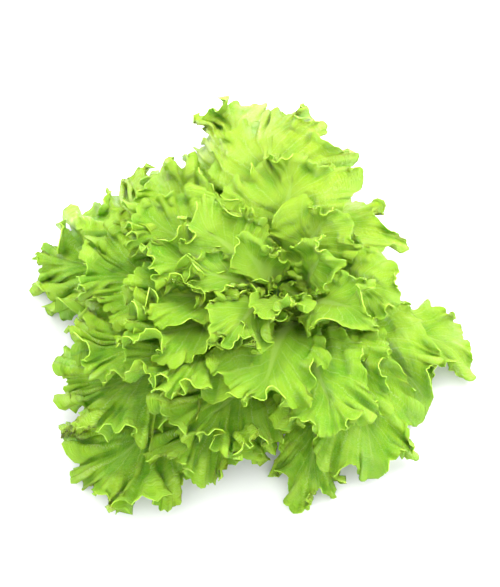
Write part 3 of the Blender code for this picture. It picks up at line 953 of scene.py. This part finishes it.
# Colours laid over one another by their shares, from the broad ones to the rib and the thin light margin.
# Painted shade darkens the blade near the rib and in the troughs, and painted light lightens the side of
# the head towards the lamps, the crests, the swellings and, partly, the thin margin line. The rib is pale
# where the place across is small beside its width, which narrows along the leaf.
def leafColour(kit, at, marks):
    look, ramps = leafLook, leafLook["ramps"]
    hollowShade = kit.ramp(at["toMargin"], *ramps["hollowShade"])
    broad = kit.ramp(kit.noise(at["object"], *look["scales"]["broad"]), *ramps["broad"])
    towardsLamp = kit.add("ShaderNodeVectorMath", operation="DOT_PRODUCT")
    kit.join(at["object"], towardsLamp.inputs[0])
    towardsLamp.inputs[1].default_value = look["paintedLightFrom"]
    ribWidth = kit.ramp(at["along"], *ramps["ribWidth"])
    ribNear = kit.math("DIVIDE", kit.math("ABSOLUTE", at["across"]), ribWidth)
    rib = kit.math("MULTIPLY", kit.ramp(ribNear, *ramps["rib"]), kit.ramp(at["along"], *ramps["ribAway"]))
    rimSoft = kit.ramp(at["toMargin"], *ramps["rimSoft"])
    layers = (
        # painted shade: deep green near the rib, with broad random mottling of the same green
        (kit.math("MAXIMUM", hollowShade, broad), "shadeAndMottleGreen"),
        (kit.ramp(marks["mottle"], *ramps["mottle"]), "margin"),
        (kit.ramp(marks["streak"], *ramps["streak"]), "streak"),
        (kit.math("MULTIPLY", at["inward"], look["heartShare"]), "heart"),
        # painted light: places on the side of the head towards the lamps are painted lighter
        (kit.ramp(towardsLamp.outputs["Value"], *ramps["paintedLitSide"]), "paintedLitSide"),
        # painted shade in the troughs of the frills and puckers
        (kit.ramp(at["crest"], *ramps["troughShade"]), "shadeAndMottleGreen"),
        # painted highlight on the crests of the frills and puckers
        (kit.ramp(at["crest"], *ramps["crest"]), "streak"),
        # painted light: the swellings between the meshes of the net are painted lighter
        (kit.math("MULTIPLY", marks["quilt"], look["quiltLightShare"]), "streak"),
        (marks["veins"], "vein"),
        (kit.ramp(at["along"], *ramps["foot"]), "foot"),
        (rib, "ribPale"),
        # the paler margin, with a thin line at the very edge that is partly its own paler edge and partly a
        # painted rim highlight
        (kit.math("MAXIMUM", rimSoft, kit.ramp(at["toMargin"], *ramps["rimLineAndHighlight"])), "margin"),
    )
    colour = look["blade"]
    for share, name in layers:
        colour = kit.mix(share, colour, look[name])
    return colour


# Leaf finish: the colours above, a relief that is the sum of the marks by their heights, and a soft glow
def leafFinish():
    kit = NodeKit("leafBlade")
    at = leafPlaces(kit)
    marks = leafMarks(kit, at)
    kit.join(leafColour(kit, at, marks), kit.shader.inputs["Base Color"])
    height = 0.0
    for name, share in leafLook["heights"].items():
        height = kit.math("ADD", height, kit.math("MULTIPLY", marks[name], share))
    kit.bump(height, leafLook["bump"], leafLook["bumpDepth"])
    kit.shader.inputs["Roughness"].default_value = leafLook["roughness"]
    kit.shader.inputs["Specular IOR Level"].default_value = leafLook["shine"]
    kit.shader.inputs["Subsurface Weight"].default_value = leafLook["subsurface"]
    kit.shader.inputs["Subsurface Radius"].default_value = leafLook["glow"]
    kit.shader.inputs["Subsurface Scale"].default_value = leafLook["glowDepth"]
    return kit.material


stemLook = {
    "flesh": (0.78, 0.83, 0.55),
    "skin": (0.56, 0.70, 0.24),
    "crownGreenAndShade": (0.10, 0.28, 0.01),
    "cut": (0.74, 0.68, 0.46),
    "skinAt": (0.004, 0.030),  # heights
    "browned": (0.0002, 0.0012, 0.8, 0.0),
    "crownAt": (0.026, 0.044),
    "fibres": (420.0, 3.0),
    "fibreShare": 0.35,
    "bump": 0.4,
    "bumpDepth": 0.0008,
    "roughness": 0.5,
}


# Stem finish: cream flesh with fibres, greener up the side, browned a little on the cut face, and dark
# green at the top, partly its own greener tip and partly painted shade of the hollow among the heart leaves
def stemFinish():
    kit = NodeKit("stemFlesh")
    look = stemLook
    coords = kit.add("ShaderNodeTexCoord").outputs["Object"]
    height = kit.split(coords)[2]
    fibres = kit.noise(coords, *look["fibres"])
    colour = kit.mix(kit.ramp(height, *look["skinAt"]), look["flesh"], look["skin"])
    colour = kit.mix(kit.ramp(height, *look["browned"]), colour, look["cut"])
    colour = kit.mix(kit.math("MULTIPLY", fibres, look["fibreShare"]), colour, look["cut"])
    # painted shade: the top of the stem, in the hollow among the heart leaves, is painted dark green,
    # partly its own greener tip
    colour = kit.mix(kit.ramp(height, *look["crownAt"]), colour, look["crownGreenAndShade"])
    kit.join(colour, kit.shader.inputs["Base Color"])
    kit.bump(fibres, look["bump"], look["bumpDepth"])
    kit.shader.inputs["Roughness"].default_value = look["roughness"]
    return kit.material


# The stem: rings of points up the same ellipse as the solid's, with low ridges where leaves grew, which
# are sines of a turn that grows with bearing and rise. The base and the top are fans of triangles.
def growStem(material):
    rises = np.linspace(0, math.pi / 2, stem["rings"] + 1)[:-1, None]
    bearings = np.linspace(0, 2 * math.pi, stem["sides"], endpoint=False)[None, :]
    ridges = np.abs(np.sin(stem["ridgeCount"] * bearings + stem["ridgeTwist"] * rises))
    ridges = 1 - stem["ridge"] * ridges * np.sin(2 * rises)
    rings = placed(stemReach(rises) * ridges, bearings + 0 * rises, rises + 0 * bearings).reshape(-1, 3)
    ends = np.stack([[0.0, 0.0, 0.0], placed(stem["height"], 0.0, math.pi / 2)])
    points = np.concatenate([rings, ends])
    count = len(rings)
    low = np.arange(count - stem["sides"]).reshape(-1, stem["sides"])
    after = np.roll(low, -1, 1)
    quads = np.stack([low, after, after + stem["sides"], low + stem["sides"]], -1).reshape(-1, 4)
    side = np.arange(stem["sides"])
    following = np.roll(side, -1)
    top = count - stem["sides"]
    base = np.stack([np.full_like(side, count), following, side], 1)
    cap = np.stack([top + side, top + following, np.full_like(side, count + 1)], 1)
    mesh = bpy.data.meshes.new("stem_grown")
    mesh.from_pydata(points.tolist(), [], quads.tolist() + base.tolist() + cap.tolist())
    mesh.shade_smooth()
    mesh.materials.append(material)
    piece = bpy.data.objects.new("stem_grown", mesh)
    bpy.context.scene.collection.objects.link(piece)
    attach(piece, "root")
    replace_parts(piece, "stem")
    return piece


leafMaterial = leafFinish()
growStem(stemFinish())

print("stage: leaves")
pile = Pile()
for leaf in listLeaves():
    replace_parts(growLeaf(leaf, layCoarse(leaf, pile), leafMaterial), leaf["name"])
for bud in listBuds():
    unlaid = np.zeros((2, len(blade["solidRows"])))
    growLeaf(bud, (np.array([0.0, 1.0]), unlaid, unlaid), leafMaterial)

print("stage: floor, light and camera")

studio = {
    "floorSize": 6.0,
    "floorColour": (0.93, 0.94, 0.95),
    "floorRoughness": 0.9,
    "floorShine": 0.1,
    "worldColour": (1.0, 1.0, 1.0),
    "worldStrength": 1.95,
    "keyPlace": (0.75, 0.60, 0.95),
    "keySize": 0.65,
    "keyPower": 15.5,
    "sheenPlace": (-0.20, 0.80, 1.05),
    "sheenSize": 0.28,
    "sheenPower": 11.0,
}

cameraLook = {
    "elevation": 60,  # degrees
    "target": (-0.035, 0.0, 0.03),
    "distance": 1.2,
    "pixelsPerMetre": 1457,
    "frameHeight": 587,
    "sensor": 36.0,
}


# A pale square floor at height 0
def layFloor():
    side = studio["floorSize"] / 2
    corners = [(-side, -side, 0), (side, -side, 0), (side, side, 0), (-side, side, 0)]
    mesh = bpy.data.meshes.new("floor")
    mesh.from_pydata(corners, [], [(0, 1, 2, 3)])
    kit = NodeKit("paleFloor")
    kit.shader.inputs["Base Color"].default_value = (*studio["floorColour"], 1)
    kit.shader.inputs["Roughness"].default_value = studio["floorRoughness"]
    kit.shader.inputs["Specular IOR Level"].default_value = studio["floorShine"]
    mesh.materials.append(kit.material)
    floor = bpy.data.objects.new("floor", mesh)
    bpy.context.scene.collection.objects.link(floor)


# A square lamp that faces the origin
def addLight(name, place, size, power):
    light = bpy.data.lights.new(name, "AREA")
    light.size = size
    light.energy = power
    lamp = bpy.data.objects.new(name, light)
    bpy.context.scene.collection.objects.link(lamp)
    lamp.location = place
    lamp.rotation_euler = Vector(place).to_track_quat("Z", "Y").to_euler()


# Even light from all sides, and colours shown as they are
def lightWorld():
    world = bpy.data.worlds.new("studio")
    world.use_nodes = True
    world.node_tree.nodes["Background"].inputs[0].default_value = (*studio["worldColour"], 1)
    world.node_tree.nodes["Background"].inputs[1].default_value = studio["worldStrength"]
    bpy.context.scene.world = world
    bpy.context.scene.view_settings.view_transform = "Standard"


# A camera that looks down at its elevation. Lens over sensor is distance over the height of the view, which
# is the photograph's height in pixels over the pixels to a metre at the target.
def placeCamera():
    data = bpy.data.cameras.new("camera")
    camera = bpy.data.objects.new("camera", data)
    bpy.context.scene.collection.objects.link(camera)
    rise = math.radians(cameraLook["elevation"])
    back = Vector((0, -math.cos(rise), math.sin(rise)))
    camera.location = Vector(cameraLook["target"]) + back * cameraLook["distance"]
    camera.rotation_euler = back.to_track_quat("Z", "Y").to_euler()
    viewHeight = cameraLook["frameHeight"] / cameraLook["pixelsPerMetre"]
    data.sensor_width = cameraLook["sensor"]
    data.lens = cameraLook["sensor"] * cameraLook["distance"] / viewHeight
    bpy.context.scene.camera = camera


layFloor()
addLight("key", studio["keyPlace"], studio["keySize"], studio["keyPower"])
addLight("sheen", studio["sheenPlace"], studio["sheenSize"], studio["sheenPower"])
lightWorld()
placeCamera()

print("stage: finish")
